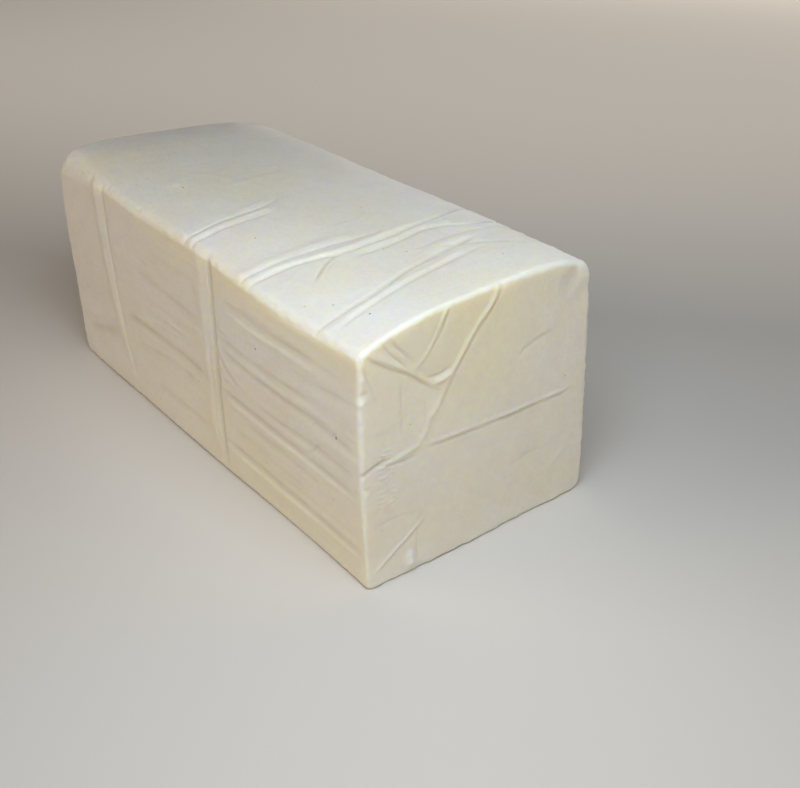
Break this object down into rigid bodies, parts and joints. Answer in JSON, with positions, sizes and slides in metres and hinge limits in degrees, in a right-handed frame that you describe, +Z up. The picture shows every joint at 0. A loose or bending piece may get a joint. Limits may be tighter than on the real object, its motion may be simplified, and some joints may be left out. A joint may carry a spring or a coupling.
{
  "type": "garlic cheddar loaf",
  "caption": "Long block of ivory garlic cheddar with a crowned top, soft far edges and pressed film folds; lies on its flat base.",
  "frame": {"origin": "middle of the footprint, on the flat base", "axes": "+X along the loaf to its crisp near end, +Z up, -Y the ribbed side"},
  "size_m": [0.2546, 0.1138, 0.1092],
  "materials": {
    "cheese": "ivory cheddar, dense and slightly translucent, with a faint moist sheen"
  },
  "bodies": {
    "root": {"cheese_loaf": "cheese"}
  },
  "joints": []
}
